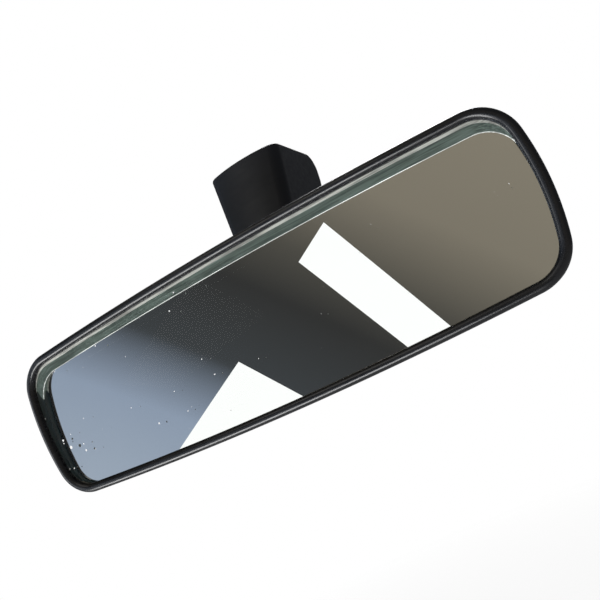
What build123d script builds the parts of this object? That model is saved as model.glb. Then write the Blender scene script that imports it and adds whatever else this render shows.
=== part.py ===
from build123d import *
import math
import os

# Interior rearview mirror on a screwed roof foot, in millimetres.
# Row frame: origin at the centre of the foot's flat top, +Z up into the roof,
# +X along the mirror's length, and the glass faces -Y.
# Head frame: x along the mirror, y up, and depth counted backwards from the rim's plane.

# Head outline: two long arcs above and below, two end arcs, rounded corners.
half_length = 120.0
half_height = 35.8
top_edge_r = 1980.0
bottom_edge_r = 1792.0
end_edge_r = 108.6
end_lean = 1.93
corner_r = 16.8
least_corner_r = 2.0

# Head position relative to the foot.
mirror_y = -83.0
mirror_z = -83.0

# Bezel.
bead_width = 4.0
bead_height = 2.0
bead_round = 1.95
bezel_wall = 1.6
seam_gap = 0.2

# Prismatic glass and what is laid on its back.
glass_front = 0.75
glass_top_thickness = 7.7
glass_bottom_thickness = 3.4
glass_gap = 0.25
coating_thickness = 0.1
film_thickness = 0.25
coating_inset = 0.5
foam_width = 3.4
glass_stack = glass_front + glass_top_thickness + coating_thickness + film_thickness

# Rear housing.
housing_inset = 0.4
housing_back_inset = 12.0
housing_back_corner = 18.0
housing_wall = 1.8
dome_long_r = 420.0
dome_cross_r = 110.0
dome_overreach = 1.15
housing_edge_r = 8.0
back_edge_margin = 6.0
seam_edge_margin = 1.0
spigot_gap = 0.15
spigot_width = 3.25
foam_room = 1.7
spigot_start = glass_stack + foam_room
seam_depth = spigot_start + 1.5
spigot_end = seam_depth + 2.0

# Ball joint and arm.
ball_height = -2.0
ball_r = 7.5
running_gap = 0.08
liner_wall = 1.25
cup_wall = 1.2
seat_wall = 2.4
arm_rise = 45.0
neck_r = 3.8
neck_length = 27.0
shank_r = 4.5
neck_taper = 4.0
stud_length = 72.0
mouth_angle = 55.0
arm_opening_angle = 36.0
cup_slit = 1.2
cup_slit_depth = 9.0
liner_inner_r = ball_r + running_gap
liner_outer_r = liner_inner_r + liner_wall
cup_inner_r = liner_outer_r + running_gap
cup_outer_r = cup_inner_r + cup_wall
seat_inner_r = cup_outer_r + running_gap
seat_outer_r = seat_inner_r + seat_wall

# Socket carrier and its clamp.
plate_gap = 0.8
plate_front = glass_stack + plate_gap
plate_thickness = 2.4
plate_half_width = 27.5
plate_corner_r = 3.0
seat_lead = 1.69
seat_lap = 0.2
seat_bore_lap = 0.5
ball_depth = plate_front + seat_outer_r - seat_lead
clamp_flange = 2.5
clamp_back = ball_depth + 9.5
clamp_screw_circle_r = seat_outer_r + 2.6
clamp_screw_angles = (0, 180, 250)
clamp_boss_r = 3.1
clamp_flange_r = clamp_screw_circle_r + clamp_boss_r
clamp_screw_r = 1.25
clamp_screw_head_r = 2.5
clamp_screw_head = 1.8
clamp_screw_length = 9.0
clamp_head_gap = 0.2
screw_recess = 0.45
screw_head_round = 0.35
housing_depth = clamp_back + 6.0
housing_loft_depth = housing_depth + 4.0

# Day and night hinge.
hinge_depth = plate_front + plate_thickness + 2.0
hinge_height = half_height - 11.8
plate_top = hinge_height
hinge_pin_r = 1.5
knuckle_r = 3.2
knuckle_start = 20.0
post_start = 28.0
post_width = 4.5
hinge_pin_inset = 0.5

# Day and night lever.
lever_pin_r = 1.5
lever_hub_r = 3.0
lever_depth = seam_depth + lever_hub_r
lever_height = 9.8 - half_height
plate_bottom = lever_height + 7.5
lever_hub_left = -9.0
lever_hub_right = 4.9
lever_swing = 45.0
crank_r = 4.2
crank_pin_r = 1.2
crank_rim = 0.4
crank_web = 2.9
crank_reach = 8.6
crank_slot_gap = 0.5
tail_start = 5.6
tail_width = 2.8
tail_bottom = lever_height + 2.0
tail_overlap = 2.5
tail_back = lever_depth + 1.6
handle_angle = 35.0
handle_width = 8.0
handle_length = 15.5
handle_thickness = 2.4
handle_corner_r = 2.5
handle_edge_r = 0.8
ear_start = 9.5
ear_width = 3.0
ear_relief = 0.6
lever_slot_gap = 0.6
lever_slot_front = lever_depth - 1.4
lever_slot_back = lever_depth + 14.0

# Detent leaf spring.
spring_left = -8.5
spring_width = 4.0
spring_thickness = 0.4
spring_gap = 0.4
spring_front = lever_depth - 2.5
spring_back = lever_depth + 12.0
spring_post_start = lever_depth + 6.5
spring_screw_r = 0.9
spring_screw_head_r = 1.7
spring_screw_head = 1.0
spring_screw_length = 5.0

# Foot.
foot_half_width = 20.2
foot_side_taper = 0.088
foot_front = -25.5
foot_front_lean = 0.265
foot_front_r = 50.0
foot_back = 28.0
foot_back_low = 25.5
foot_back_low_z = -18.0
foot_end_z = -42.0
foot_end_width = 21.0
foot_wall = 2.0
foot_front_edge_r = 6.0
foot_back_round = 9.0
foot_top_edge_r = 1.2
foot_reach = 150.0
arm_hole_gap = 0.5
flange_half_x = 15.0
flange_half_y = 18.0
flange_thickness = 4.0
flange_corner_r = 4.0
flange_gap = 0.6
screw_spacing_x = 21.0
screw_spacing_y = 26.0
screw_hole_r = 2.25
web_thickness = 2 * shank_r + 2.0
web_setback = 4.0
web_overlap = 3.0
boss_r = shank_r + 2.1
boss_start = 58.0
boss_end = 75.0
stud_pin_r = 1.5
stud_pin_at = 66.0
stud_pin_inset = 0.3
clip_thickness = 0.4
clip_width = 10.0
clip_height = 6.5
clip_below_top = 0.5

reach = 300.0

head_at = Location((0, mirror_y, mirror_z), (90, 0, 0))
arm_at = Location((0, mirror_y + ball_depth, mirror_z + ball_height), (arm_rise - 90, 0, 0))


def circle_meet(first, first_r, second, second_r, toward):
    """The point nearest to `toward` where two circles meet."""
    gap = second - first
    along = (gap.length ** 2 + first_r ** 2 - second_r ** 2) / (2 * gap.length)
    across = math.sqrt(first_r ** 2 - along ** 2)
    unit = gap.normalized()
    side = Vector(-unit.Y, unit.X)
    points = [first + unit * along + side * across, first + unit * along - side * across]
    return min(points, key=lambda point: (point - toward).length)


def outline(inset, corner=None):
    """The head's outline, drawn in by `inset`."""
    lean = math.radians(end_lean)
    top = Vector(0, half_height - top_edge_r)
    bottom = Vector(0, bottom_edge_r - half_height)
    end = Vector(half_length - end_edge_r * math.cos(lean), end_edge_r * math.sin(lean))
    top_r = top_edge_r - inset
    bottom_r = bottom_edge_r - inset
    end_r = end_edge_r - inset
    upper = circle_meet(top, top_r, end, end_r, Vector(half_length, half_height))
    lower = circle_meet(bottom, bottom_r, end, end_r, Vector(half_length, -half_height))
    upper_left = Vector(-upper.X, upper.Y)
    lower_left = Vector(-lower.X, lower.Y)
    rightmost = Vector(end.X + end_r, end.Y)
    leftmost = Vector(-rightmost.X, end.Y)
    edges = [
        ThreePointArc(upper_left, Vector(0, half_height - inset), upper),
        ThreePointArc(upper, rightmost, lower),
        ThreePointArc(lower, Vector(0, inset - half_height), lower_left),
        ThreePointArc(lower_left, leftmost, upper_left),
    ]
    face = make_face(edges)
    radius = max(corner_r - inset, least_corner_r) if corner is None else corner
    return fillet(face.vertices(), radius)


def slab(inset, front, back, corner=None):
    """The outline as a slab between two depths."""
    return extrude(Pos(0, 0, -back) * outline(inset, corner), amount=back - front, dir=(0, 0, 1))


def glass_back(height, extra=0.0):
    """Depth of the wedge's back face at a height, plus what lies on it."""
    share = (height + half_height) / (2 * half_height)
    thickness = glass_bottom_thickness + (glass_top_thickness - glass_bottom_thickness) * share
    return glass_front + thickness + extra


def between(front_low, front_high, back_low, back_high):
    """A block across the head between two tilted planes, given by their depths low and high."""
    corners = [
        (0, -half_height, -front_low),
        (0, -half_height, -back_low),
        (0, half_height, -back_high),
        (0, half_height, -front_high),
    ]
    face = make_face(Polyline(corners, close=True))
    return extrude(face, amount=half_length, dir=(1, 0, 0), both=True)


def head_box(x_low, x_high, depth_low, depth_high, height_low, height_high):
    """A block in the head frame."""
    block = Box(x_high - x_low, height_high - height_low, depth_high - depth_low)
    middle = ((x_low + x_high) / 2, (height_low + height_high) / 2, -(depth_low + depth_high) / 2)
    return Pos(*middle) * block


def head_rod(radius, x_low, x_high, depth, height):
    """A rod along the mirror's length, in the head frame."""
    return Pos((x_low + x_high) / 2, height, -depth) * Cylinder(radius, x_high - x_low, rotation=(0, 90, 0))


def head_peg(radius, depth_low, depth_high, x, height):
    """A rod along the depth, in the head frame."""
    return Pos(x, height, -(depth_low + depth_high) / 2) * Cylinder(radius, depth_high - depth_low)


def mirrored(shape):
    """A shape and its twin on the mirror's other half."""
    return [shape, mirror(shape, about=Plane.YZ)]


def front_bezel():
    body = slab(0, -bead_height, seam_depth)
    window = slab(bead_width, -2 * bead_height, glass_front)
    pocket = slab(bezel_wall, glass_front, seam_depth)
    ring = body - window - pocket
    front_edges = ring.edges().filter_by_position(Axis.Z, bead_height - 0.01, bead_height + 0.01)
    return head_at * fillet(front_edges, bead_round)


def mirror_glass():
    blank = slab(bezel_wall + glass_gap, 0, seam_depth)
    wedge = between(glass_front, glass_front, glass_back(-half_height), glass_back(half_height))
    return head_at * (blank & wedge)


def back_layer(inset, inner, outer):
    """A layer that follows the wedge's back, from `inner` to `outer` behind it."""
    blank = slab(bezel_wall + glass_gap + inset, 0, seam_depth)
    layer = between(
        glass_back(-half_height, inner),
        glass_back(half_height, inner),
        glass_back(-half_height, outer),
        glass_back(half_height, outer),
    )
    return blank & layer


def silver_coating():
    return head_at * back_layer(coating_inset, 0, coating_thickness)


def backing_film():
    return head_at * back_layer(coating_inset, coating_thickness, coating_thickness + film_thickness)


def glass_foam_strip():
    outer_inset = bezel_wall + glass_gap + coating_inset
    stack = coating_thickness + film_thickness
    ring = slab(outer_inset, 0, seam_depth) - slab(outer_inset + foam_width, 0, seam_depth)
    room = between(
        glass_back(-half_height, stack), glass_back(half_height, stack), spigot_start, spigot_start
    )
    return head_at * (ring & room)


def housing_body(wall):
    """The rear housing as a solid, drawn in by `wall`."""
    front = Pos(0, 0, -seam_depth - seam_gap) * outline(housing_inset + wall)
    back = Pos(0, 0, -housing_loft_depth) * outline(housing_back_inset + wall, housing_back_corner)
    body = loft([front.face(), back.face()], ruled=True)
    cross_r = dome_cross_r - wall
    depth = housing_depth - wall
    side_depth = depth - cross_r + math.sqrt(cross_r ** 2 - half_height ** 2)
    profile = make_face(
        [
            ThreePointArc((0, half_height, -side_depth), (0, 0, -depth), (0, -half_height, -side_depth)),
            Line((0, -half_height, -side_depth), (0, -half_height, half_height)),
            Line((0, -half_height, half_height), (0, half_height, half_height)),
            Line((0, half_height, half_height), (0, half_height, -side_depth)),
        ]
    )
    crown = Axis((0, 0, dome_long_r - housing_depth), (0, 1, 0))
    sweep = 2 * math.degrees(math.asin(dome_overreach * half_length / dome_long_r))
    dome = revolve(profile.rotate(crown, -sweep / 2), axis=crown, revolution_arc=sweep)
    body = body & dome
    back_edges = [edge for edge in body.edges() if edge.center().Z < -seam_depth - back_edge_margin]
    free_of_seam = -seam_depth - seam_edge_margin
    back_edges = [edge for edge in back_edges if edge.vertices().sort_by(Axis.Z)[-1].Z < free_of_seam]
    return fillet(back_edges, housing_edge_r - wall)


def rear_housing():
    outer = housing_body(0)
    shell = outer - housing_body(housing_wall)
    spigot_inset = bezel_wall + spigot_gap
    spigot = slab(spigot_inset, spigot_start, spigot_end)
    spigot -= slab(spigot_inset + spigot_width, spigot_start, spigot_end)
    spigot &= outer + slab(spigot_inset, spigot_start, seam_depth + seam_gap)
    shell += spigot
    post = head_box(
        post_start,
        post_start + post_width,
        hinge_depth - knuckle_r,
        housing_depth,
        hinge_height - knuckle_r,
        hinge_height + knuckle_r,
    )
    ear = head_box(
        ear_start,
        ear_start + ear_width,
        lever_depth - lever_hub_r + ear_relief,
        lever_depth + lever_hub_r,
        -half_height,
        lever_height + lever_hub_r,
    )
    spring_post = head_box(
        spring_left,
        spring_left + spring_width,
        spring_post_start,
        housing_depth,
        lever_height - lever_hub_r,
        lever_height + lever_hub_r + spring_gap,
    )
    front_room = slab(spigot_inset + spigot_width, 0, seam_depth + 2 * seam_gap)
    room = outer + front_room
    for piece in mirrored(post) + mirrored(ear) + [spring_post]:
        shell += piece & room
    shell -= head_rod(hinge_pin_r, -half_length, half_length, hinge_depth, hinge_height) & head_box(
        -post_start - post_width, post_start + post_width, 0, housing_depth, 0, half_height
    )
    shell -= head_rod(lever_pin_r, -ear_start - ear_width, ear_start + ear_width, lever_depth, lever_height)
    half_slot = handle_width / 2 + lever_slot_gap
    slot_top = lever_height - lever_hub_r
    shell -= head_box(-half_slot, half_slot, lever_slot_front, lever_slot_back, -reach, slot_top)
    shell -= spring_screw_hole()
    shell = head_at * shell
    opening = Cone(0, stud_length * math.tan(math.radians(arm_opening_angle)), stud_length)
    return shell - arm_at * (Pos(0, 0, stud_length / 2) * opening)


def ball_stud():
    profile = make_face(
        Polyline(
            (0, 0),
            (neck_r, 0),
            (neck_r, neck_length),
            (shank_r, neck_length + neck_taper),
            (shank_r, stud_length),
            (0, stud_length),
            close=True,
        )
    )
    stem = revolve(Plane.XZ * profile, axis=Axis.Z)
    stud = Sphere(ball_r) + stem
    stud -= Pos(0, 0, stud_pin_at) * Cylinder(stud_pin_r, 2 * shank_r + 1, rotation=(0, 90, 0))
    return arm_at * stud


def mouth():
    """The cone that leaves the arm free to lean in the socket."""
    height = 2 * seat_outer_r
    cone = Cone(0, height * math.tan(math.radians(mouth_angle)), height)
    return Pos(0, 0, height / 2) * cone


def ball_liner():
    return arm_at * (Sphere(liner_outer_r) - Sphere(liner_inner_r) - mouth())


def socket_cup():
    cup = Sphere(cup_outer_r) - Sphere(cup_inner_r) - mouth()
    slit = Pos(0, 0, cup_slit_depth / 2) * Box(4 * cup_outer_r, cup_slit, cup_slit_depth)
    for turn in (45, 135):
        cup -= Rot(0, 0, turn) * slit
    return arm_at * cup


def seat_shell():
    """The spherical seat round the cup, in the row frame."""
    return arm_at * (Sphere(seat_outer_r) - Sphere(seat_inner_r) - mouth())


def clamp_screw_places():
    """Where the clamp's screws stand round the ball, as x and height."""
    turns = [math.radians(angle) for angle in clamp_screw_angles]
    return [(clamp_screw_circle_r * math.cos(turn), clamp_screw_circle_r * math.sin(turn)) for turn in turns]


def socket_carrier():
    plate = head_box(
        -plate_half_width,
        plate_half_width,
        plate_front,
        plate_front + plate_thickness,
        plate_bottom,
        plate_top,
    )
    plate = fillet(plate.edges().filter_by(Axis.Z), plate_corner_r)
    plate -= head_peg(seat_outer_r - seat_bore_lap, 0, ball_depth, 0, ball_height)
    knuckle = head_rod(knuckle_r, knuckle_start, plate_half_width, hinge_depth, hinge_height)
    for piece in mirrored(knuckle):
        plate += piece
    for x, height in clamp_screw_places():
        plate += head_peg(clamp_boss_r, plate_front, ball_depth, x, ball_height + height)
    tail_end = tail_start + tail_width
    plate += head_box(tail_start, tail_end, plate_front, tail_back, tail_bottom, plate_bottom + tail_overlap)
    slot_half = crank_pin_r + crank_slot_gap
    slot_depth = lever_depth - crank_r * math.sin(math.radians(lever_swing / 2))
    slot_top = lever_height + crank_r + slot_half
    plate -= head_box(tail_start, tail_end, slot_depth - slot_half, slot_depth + slot_half, -reach, slot_top)
    pin_bore_r = hinge_pin_r + running_gap
    plate -= head_rod(pin_bore_r, -plate_half_width, plate_half_width, hinge_depth, hinge_height)
    plate -= Pos(0, ball_height, -ball_depth) * Sphere(seat_outer_r - seat_lap)
    for x, height in clamp_screw_places():
        screw_end = ball_depth - clamp_screw_length + clamp_flange
        plate -= head_peg(clamp_screw_r, screw_end, ball_depth, x, ball_height + height)
    front_half = head_at * head_box(-reach, reach, 0, ball_depth, -reach, reach)
    return head_at * plate + (seat_shell() & front_half)


def socket_clamp():
    rear = head_at * head_box(-reach, reach, ball_depth, clamp_back, -reach, reach)
    flange = head_peg(clamp_flange_r, ball_depth, ball_depth + clamp_flange, 0, ball_height)
    flange = head_at * flange - arm_at * Sphere(seat_inner_r) - arm_at * mouth()
    clamp = (seat_shell() & rear) + flange
    for x, height in clamp_screw_places():
        hole = head_peg(clamp_screw_r, ball_depth, housing_depth, x, ball_height + height)
        room_r = clamp_screw_head_r + clamp_head_gap
        head_room = head_peg(room_r, ball_depth + clamp_flange, housing_depth, x, ball_height + height)
        clamp -= head_at * (hole + head_room)
    return clamp


def screw(radius, length, head_r, head_height):
    """A screw with its thread down -Z and its head's seat at z = 0."""
    head = Cylinder(head_r, head_height, align=(Align.CENTER, Align.CENTER, Align.MIN))
    head = fillet(head.edges().sort_by(Axis.Z)[-1], head_height * screw_head_round)
    recess = screw_recess * head_r
    slot = Pos(0, 0, head_height) * Box(2 * recess, recess / 2, head_height)
    head -= slot
    head -= Rot(0, 0, 90) * slot
    shank = Cylinder(radius, length, align=(Align.CENTER, Align.CENTER, Align.MAX))
    return head + shank


def clamp_screws():
    screws = []
    for x, height in clamp_screw_places():
        piece = screw(clamp_screw_r, clamp_screw_length, clamp_screw_head_r, clamp_screw_head)
        seat = Pos(x, ball_height + height, -ball_depth - clamp_flange)
        screws.append(head_at * (seat * (Rot(180, 0, 0) * piece)))
    return Compound(screws)


def hinge_pins():
    pin_end = post_start + post_width - hinge_pin_inset
    pin = head_rod(hinge_pin_r, knuckle_start, pin_end, hinge_depth, hinge_height)
    return head_at * Compound(mirrored(pin))


def lever_pin():
    half = ear_start + ear_width
    return head_at * head_rod(lever_pin_r, -half, half, lever_depth, lever_height)


def spring_screw_hole():
    seat = lever_height + lever_hub_r + spring_gap
    x = spring_left + spring_width / 2
    depth = (spring_post_start + spring_back) / 2
    shank = spring_screw_length - spring_thickness
    return Pos(x, seat - shank / 2, -depth) * Cylinder(spring_screw_r, shank, rotation=(90, 0, 0))


def detent_spring():
    seat = lever_height + lever_hub_r + spring_gap
    leaf = head_box(
        spring_left, spring_left + spring_width, spring_front, spring_back, seat, seat + spring_thickness
    )
    x = spring_left + spring_width / 2
    depth = (spring_post_start + spring_back) / 2
    leaf -= Pos(x, seat, -depth) * Cylinder(spring_screw_r, 4 * spring_thickness, rotation=(90, 0, 0))
    return head_at * leaf


def spring_screw():
    seat = lever_height + lever_hub_r + spring_gap + spring_thickness
    x = spring_left + spring_width / 2
    depth = (spring_post_start + spring_back) / 2
    piece = screw(spring_screw_r, spring_screw_length, spring_screw_head_r, spring_screw_head)
    return head_at * (Pos(x, seat, -depth) * (Rot(-90, 0, 0) * piece))


def day_night_lever():
    half_swing = math.radians(lever_swing / 2)
    crank_depth = lever_depth - crank_r * math.sin(half_swing)
    crank_height = lever_height + crank_r * math.cos(half_swing)
    lever = head_rod(lever_hub_r, lever_hub_left, lever_hub_right, lever_depth, lever_height)
    web_left = lever_hub_right - crank_web
    lever += head_rod(crank_pin_r + crank_rim, web_left, lever_hub_right, crank_depth, crank_height)
    web = Box(crank_web, crank_r, 2 * (crank_pin_r + crank_rim))
    middle_depth = (lever_depth + crank_depth) / 2
    middle_height = (lever_height + crank_height) / 2
    place = Location(
        ((web_left + lever_hub_right) / 2, middle_height, -middle_depth), (lever_swing / 2, 0, 0)
    )
    lever += place * web
    lever += head_rod(crank_pin_r, web_left, crank_reach, crank_depth, crank_height)
    handle = Box(handle_width, handle_thickness, handle_length)
    handle = fillet(handle.edges().filter_by(Axis.Y).sort_by(Axis.Z)[:2], handle_corner_r)
    handle = fillet(handle.edges().group_by(Axis.Z)[0], handle_edge_r)
    handle = Pos(0, 0, -handle_length / 2) * handle
    lever += Location((0, lever_height, -lever_depth), (-handle_angle, 0, 0)) * handle
    lever -= head_rod(lever_pin_r + running_gap, -reach, reach, lever_depth, lever_height)
    return head_at * lever


def arm_point(length, above):
    """A point of the side view, at a length along the arm and a distance above its middle line."""
    rise = math.radians(arm_rise)
    y = mirror_y + ball_depth + length * math.cos(rise) - above * math.sin(rise)
    z = mirror_z + ball_height + length * math.sin(rise) + above * math.cos(rise)
    return (0, y, z)


def foot_profile(wall):
    """The foot's side view as a face in the YZ plane, drawn in by `wall`."""
    front_end = Vector(0, foot_front + foot_front_lean * foot_end_z, foot_end_z)
    along = Vector(0, math.sin(math.radians(arm_rise)), -math.cos(math.radians(arm_rise)))
    rear_end = front_end + along * foot_end_width
    points = [
        (0, foot_front, 0),
        (0, foot_back, 0),
        (0, foot_back_low, foot_back_low_z),
        tuple(rear_end),
        tuple(front_end),
    ]
    face = make_face(Polyline(points, close=True))
    rounded = face.vertices().sort_by(Axis.Y)[-2:]
    face = fillet(rounded, foot_back_round)
    if wall > 0:
        face = offset(face, amount=-wall, kind=Kind.INTERSECTION)
    return face


def foot_body(wall):
    """The foot's outer form with its bowed front, drawn in by `wall`."""
    half = foot_half_width - wall
    body = extrude(foot_profile(wall), amount=half, dir=(1, 0, 0), both=True)
    low_half = half - foot_side_taper * foot_reach
    corners = [(-half, 0), (half, 0), (low_half, -foot_reach), (-low_half, -foot_reach)]
    body &= extrude(Plane.XZ * make_face(Polyline(*corners, close=True)), amount=foot_reach, both=True)
    up = Vector(0, foot_front_lean, 1).normalized()
    inwards = Vector(0, 1, -foot_front_lean).normalized()
    bow = Plane(Vector(0, foot_front, 0) + inwards * foot_front_r, x_dir=(1, 0, 0), z_dir=up)
    body &= bow * Cylinder(foot_front_r - wall, 2 * foot_reach)
    front_edges = [edge for edge in body.edges() if edge.bounding_box().size.Z > -foot_end_z / 2]
    front_edges = [edge for edge in front_edges if edge.center().Y < foot_front + foot_front_edge_r]
    return fillet(front_edges, foot_front_edge_r - wall)


def foot_cover():
    outer = foot_body(0)
    outer = fillet(outer.edges().group_by(Axis.Z)[-1], foot_top_edge_r)
    cover = outer - foot_body(foot_wall)
    top_room = Box(2 * (flange_half_x + flange_gap), 2 * (flange_half_y + flange_gap), 4 * foot_wall)
    cover -= fillet(top_room.edges().filter_by(Axis.Z), flange_corner_r + flange_gap)
    hole = Cylinder(shank_r + arm_hole_gap, stud_length, align=(Align.CENTER, Align.CENTER, Align.MIN))
    return cover - arm_at * hole


def mounting_bracket():
    flange = Pos(0, 0, -flange_thickness / 2) * Box(2 * flange_half_x, 2 * flange_half_y, flange_thickness)
    flange = fillet(flange.edges().filter_by(Axis.Z), flange_corner_r)
    grip = boss_r - flange_gap
    web_points = [
        (0, web_setback - flange_half_y, -flange_thickness / 2),
        (0, flange_half_y - web_setback, -flange_thickness / 2),
        arm_point(boss_end, -grip),
        arm_point(boss_start + web_overlap, -grip),
        arm_point(boss_start + web_overlap, grip),
    ]
    web_face = make_face(Polyline(web_points, close=True))
    web = extrude(web_face, amount=web_thickness / 2, dir=(1, 0, 0), both=True)
    boss = Cylinder(boss_r, boss_end - boss_start, align=(Align.CENTER, Align.CENTER, Align.MIN))
    bracket = flange + web + arm_at * (Pos(0, 0, boss_start) * boss)
    bore = Cylinder(shank_r, stud_length, align=(Align.CENTER, Align.CENTER, Align.MIN))
    bracket -= arm_at * bore
    bracket -= arm_at * (Pos(0, 0, stud_pin_at) * Cylinder(stud_pin_r, 4 * boss_r, rotation=(0, 90, 0)))
    for x in (-screw_spacing_x / 2, screw_spacing_x / 2):
        for y in (-screw_spacing_y / 2, screw_spacing_y / 2):
            bracket -= Pos(x, y, -flange_thickness / 2) * Cylinder(screw_hole_r, 2 * flange_thickness)
    return bracket


def stud_pin():
    pin = Cylinder(stud_pin_r, 2 * (boss_r - stud_pin_inset), rotation=(0, 90, 0))
    return arm_at * (Pos(0, 0, stud_pin_at) * pin)


def cover_clips():
    clip = Box(clip_thickness, clip_width, clip_height)
    middle = (flange_half_x + clip_thickness / 2, 0, -clip_below_top - clip_height / 2)
    return Compound(mirrored(Pos(*middle) * clip))


nodes = [
    mounting_bracket,
    foot_cover,
    cover_clips,
    ball_stud,
    stud_pin,
    ball_liner,
    socket_cup,
    socket_carrier,
    socket_clamp,
    clamp_screws,
    front_bezel,
    rear_housing,
    mirror_glass,
    silver_coating,
    backing_film,
    glass_foam_strip,
    hinge_pins,
    lever_pin,
    detent_spring,
    spring_screw,
    day_night_lever,
]

os.makedirs("parts", exist_ok=True)
for make in nodes:
    export_step(make(), f"parts/{make.__name__}.step")
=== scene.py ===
import math

import bmesh
import bpy
from bpy.props import FloatProperty, FloatVectorProperty, IntProperty, PointerProperty
from mathutils import Matrix, Vector


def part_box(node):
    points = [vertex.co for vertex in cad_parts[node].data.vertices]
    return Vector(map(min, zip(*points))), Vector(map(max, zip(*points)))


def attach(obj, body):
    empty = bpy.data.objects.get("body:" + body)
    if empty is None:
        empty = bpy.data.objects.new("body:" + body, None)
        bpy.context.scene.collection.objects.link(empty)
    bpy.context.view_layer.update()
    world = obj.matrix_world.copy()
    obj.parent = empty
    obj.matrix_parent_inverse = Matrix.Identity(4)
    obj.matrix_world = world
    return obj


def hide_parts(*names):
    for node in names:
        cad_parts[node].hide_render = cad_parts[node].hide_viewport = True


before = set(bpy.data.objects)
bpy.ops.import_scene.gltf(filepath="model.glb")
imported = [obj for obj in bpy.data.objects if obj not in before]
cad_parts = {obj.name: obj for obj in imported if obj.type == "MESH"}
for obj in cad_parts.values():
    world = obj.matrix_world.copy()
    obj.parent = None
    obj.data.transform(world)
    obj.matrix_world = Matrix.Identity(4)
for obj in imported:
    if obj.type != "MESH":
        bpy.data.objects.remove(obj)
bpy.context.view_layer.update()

bl_info = {
    "name": "Interior Rearview Mirror",
    "version": (1, 0, 0),
    "blender": (4, 5, 0),
    "location": "View3D > Sidebar > Mirror",
    "description": "Builds the finishes and fine shapes of an interior rearview mirror",
    "category": "Object",
}

BEZEL_LOW, BEZEL_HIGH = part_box("front_bezel")
BEAD_HEIGHT = 0.002
RIM_Y = BEZEL_LOW.y + BEAD_HEIGHT
RIM_Z = (BEZEL_LOW.z + BEZEL_HIGH.z) / 2
SMALLEST_CORNER_R = 0.0015

# Sockets of a colour Mix node, which share their names with its other kinds.
MIX_FIRST, MIX_SECOND, MIX_COLOUR = 6, 7, 2

# A noise texture mostly stays between these values.
NOISE_LOW, NOISE_HIGH = 0.3, 0.7

# Softboxes: place from the head's middle, width and height, and radiance.
SOFTBOXES = {
    "key_softbox": ((-0.5, -0.9, 1.0), (0.6, 0.5), 1.2),
    "low_strip": ((-0.52, -0.75, -0.65), (1.0, 0.40), 11.0),
    "rear_softbox": ((0.0, 0.8, 0.9), (0.5, 0.7), 10.0),
    "side_softbox": ((-1.3, -0.6, 0.05), (0.5, 0.5), 3.0),
}

# Panels before the mirror: the corners' places across and up from the head's middle.
PANELS = {
    "long_panel": [(-0.466, 0.494), (-0.366, 0.553), (-0.167, 0.150), (-0.274, 0.150)],
    "wide_panel": [(-0.721, 0.339), (-0.560, 0.160), (-0.900, 0.100), (-1.050, 0.170)],
}

# Colours of the surroundings from the lower left to the upper right, as shares of the way and colours.
SURROUNDINGS = [
    (0.10, (0.46, 0.52, 0.60)),
    (0.285, (0.29, 0.35, 0.46)),
    (0.345, (0.05, 0.055, 0.06)),
    (0.42, (0.035, 0.035, 0.035)),
    (0.47, (0.08, 0.075, 0.065)),
    (0.55, (0.22, 0.195, 0.155)),
    (0.70, (0.26, 0.23, 0.18)),
    (1.0, (0.12, 0.12, 0.12)),
]
BEHIND_COLOUR = (0.10, 0.104, 0.112, 1.0)


def length_prop(name, description, default):
    return FloatProperty(name=name, description=description, default=default, unit="LENGTH")


def angle_prop(name, description, degrees):
    return FloatProperty(name=name, description=description, default=math.radians(degrees), subtype="ANGLE")


def number_prop(name, description, default):
    return FloatProperty(name=name, description=description, default=default)


def count_prop(name, description, default, least):
    return IntProperty(name=name, description=description, default=default, min=least)


def colour_prop(name, description, default):
    return FloatVectorProperty(name=name, description=description, default=default, subtype="COLOR")


class HeadSizes(bpy.types.PropertyGroup):
    """Outline and bezel of the mirror's head."""

    half_length: length_prop("Half length", "From the middle to the end's crown", 0.120)
    half_height: length_prop("Half height", "From the middle to the top edge's crown", 0.0358)
    top_edge_r: length_prop("Top edge radius", "Radius of the arc along the top", 1.980)
    bottom_edge_r: length_prop("Bottom edge radius", "Radius of the arc along the bottom", 1.792)
    end_edge_r: length_prop("End edge radius", "Radius of the arc at each end", 0.1086)
    end_lean: angle_prop("End lean", "How far each end's arc leans inwards towards the bottom", 1.93)
    corner_r: length_prop("Corner radius", "Radius of the four corners", 0.0168)
    arc_steps: count_prop("Steps in each arc", "Straight steps that make up an arc of the outline", 24, 4)
    bead_width: length_prop("Bead width", "Width of the rounded bead at the front", 0.0040)
    bead_steps: count_prop("Steps in the bead", "Straight steps across the bead", 14, 4)
    wall: length_prop("Skirt wall", "Thickness of the bezel's skirt", 0.0016)
    skirt: length_prop("Skirt depth", "How far the skirt reaches back from the rim's plane", 0.0120)
    skirt_chamfer: length_prop("Skirt chamfer", "Chamfer on the skirt's back edge", 0.00035)


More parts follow.
